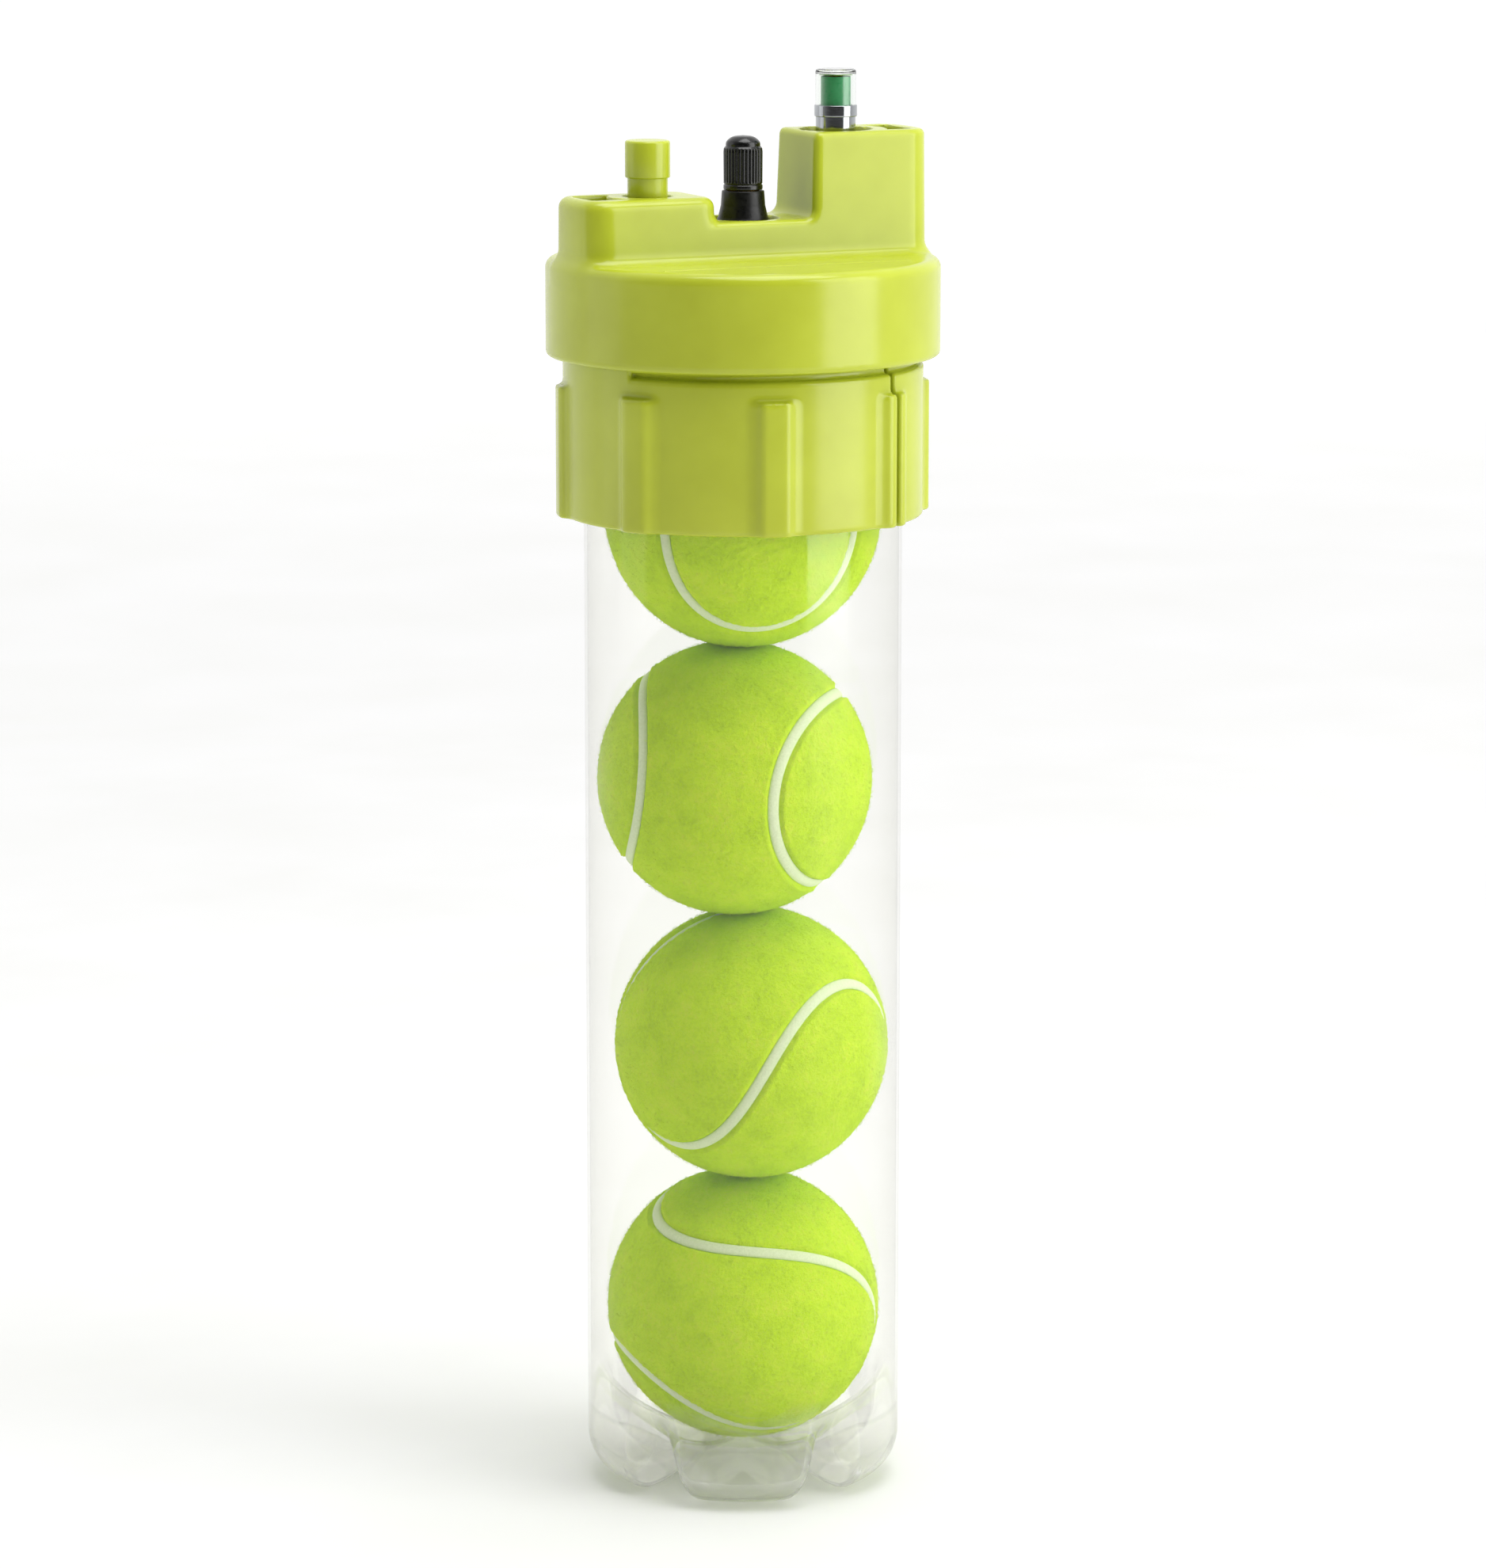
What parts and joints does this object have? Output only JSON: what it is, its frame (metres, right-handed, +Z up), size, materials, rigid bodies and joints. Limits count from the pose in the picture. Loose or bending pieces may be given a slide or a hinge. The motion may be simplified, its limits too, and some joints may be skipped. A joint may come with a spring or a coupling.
{
  "type": "tennis ball can",
  "caption": "Clear tennis ball can with balls inside, closed by a screw cap on a split collar; the cap carries a release button, a tyre valve and a pressure indicator.",
  "frame": {"origin": "centre of the can's base on the floor, which is also the bottom centre of the bounding box", "axes": "+Z up along the can, +X along the cap's raised bar from the button towards the pressure indicator, -Y is the front"},
  "size_m": [0.0926, 0.0926, 0.3375],
  "materials": {
    "clear_pet": "clear blown PET, glossy, slightly scuffed",
    "lime_plastic": "satin-gloss moulded ABS",
    "ball_felt": "napped optic-yellow felt with a pale rubber seam",
    "ball_rubber": "matt moulded rubber",
    "rim_aluminium": "rolled and lacquered",
    "gasket_rubber": "smooth matt",
    "black_rubber": "satin valve rubber",
    "black_plastic": "satin, fluted, glossy dome",
    "brass": "turned",
    "chrome": "bright plate",
    "clear_lens": "clear polished acrylic",
    "dial_green": "printed disc, satin",
    "green_plastic": "semi-gloss",
    "red_plastic": "semi-gloss",
    "amber_plastic": "semi-gloss with a metal tip",
    "spring_steel": "drawn wire",
    "rod_steel": "ground stainless rod"
  },
  "bodies": {
    "can": {"can_body": "clear_pet", "can_rim": "rim_aluminium", "split_collar": "lime_plastic"},
    "ball_1": {"ball_1_core": "ball_rubber", "ball_1_felt": "ball_felt"},
    "ball_2": {"ball_2_core": "ball_rubber", "ball_2_felt": "ball_felt"},
    "ball_3": {"ball_3_core": "ball_rubber", "ball_3_felt": "ball_felt"},
    "ball_4": {"ball_4_core": "ball_rubber", "ball_4_felt": "ball_felt"},
    "gasket": {"cap_gasket": "gasket_rubber"},
    "cap": {"cap_shell": "lime_plastic", "valve_rubber": "black_rubber", "valve_stem": "brass", "valve_core": "brass", "valve_spring": "spring_steel", "indicator_valve_rubber": "black_rubber", "indicator_valve_stem": "brass", "indicator_valve_core": "brass"},
    "button": {"release_button": "lime_plastic", "button_rod": "rod_steel", "button_seal": "gasket_rubber"},
    "valve_pin": {"valve_pin": "brass"},
    "dust_seal": {"dust_cap_seal": "gasket_rubber"},
    "dust_cap": {"dust_cap": "black_plastic"},
    "indicator_seal": {"indicator_washer": "gasket_rubber"},
    "indicator": {"indicator_base": "chrome", "indicator_ring": "chrome", "indicator_lens": "clear_lens", "indicator_dial": "dial_green", "red_sleeve": "red_plastic", "amber_pin": "amber_plastic", "indicator_diaphragm": "gasket_rubber", "indicator_spring": "spring_steel"},
    "pressure_sleeve": {"green_sleeve": "green_plastic"}
  },
  "joints": [
    {"name": "ball_1_slide", "type": "slide", "parent": "can", "child": "ball_1", "axis": [0, 0, 1], "range_m": [0, 0.004]},
    {"name": "ball_2_slide", "type": "slide", "parent": "ball_1", "child": "ball_2", "axis": [0, 0, 1], "range_m": [0, 0.004]},
    {"name": "ball_3_slide", "type": "slide", "parent": "ball_2", "child": "ball_3", "axis": [0, 0, 1], "range_m": [0, 0.004]},
    {"name": "ball_4_slide", "type": "slide", "parent": "ball_3", "child": "ball_4", "axis": [0, 0, 1], "range_m": [0, 0.004]},
    {"name": "cap_rise", "type": "slide", "parent": "can", "child": "gasket", "axis": [0, 0, 1], "range_m": [0, 0.01506]},
    {"name": "cap_turn", "type": "hinge", "parent": "gasket", "child": "cap", "pos_m": [0, 0, 0.28], "axis": [0, 0, 1], "range_deg": [0, 1260]},
    {"name": "button_press", "type": "slide", "parent": "cap", "child": "button", "axis": [0, 0, -1], "range_m": [0, 0.0099], "stiffness_N_per_m": 100, "springref_m": -0.005},
    {"name": "pin_press", "type": "slide", "parent": "cap", "child": "valve_pin", "axis": [0, 0, -1], "range_m": [0, 0.0015], "stiffness_N_per_m": 400, "springref_m": -0.0025, "deforming": ["valve_spring"]},
    {"name": "dust_cap_rise", "type": "slide", "parent": "cap", "child": "dust_seal", "axis": [0, 0, 1], "range_m": [0, 0.00635]},
    {"name": "dust_cap_turn", "type": "hinge", "parent": "dust_seal", "child": "dust_cap", "pos_m": [0, 0, 0.315], "axis": [0, 0, 1], "range_deg": [0, 2880]},
    {"name": "indicator_rise", "type": "slide", "parent": "cap", "child": "indicator_seal", "axis": [0, 0, 1], "range_m": [0, 0.00635]},
    {"name": "indicator_turn", "type": "hinge", "parent": "indicator_seal", "child": "indicator", "pos_m": [0.024, 0, 0.315], "axis": [0, 0, 1], "range_deg": [0, 2880]},
    {"name": "pressure_drop", "type": "slide", "parent": "indicator", "child": "pressure_sleeve", "axis": [0, 0, -1], "range_m": [0, 0.0064], "stiffness_N_per_m": 60, "springref_m": -0.004, "deforming": ["indicator_spring"]}
  ],
  "couplings": [
    {"joint": "cap_rise", "follows": "cap_turn", "m_per_rad": 0.00068437},
    {"joint": "dust_cap_turn", "follows": "dust_cap_rise", "rad_per_m": 7915.8},
    {"joint": "indicator_turn", "follows": "indicator_rise", "rad_per_m": 7915.8}
  ]
}
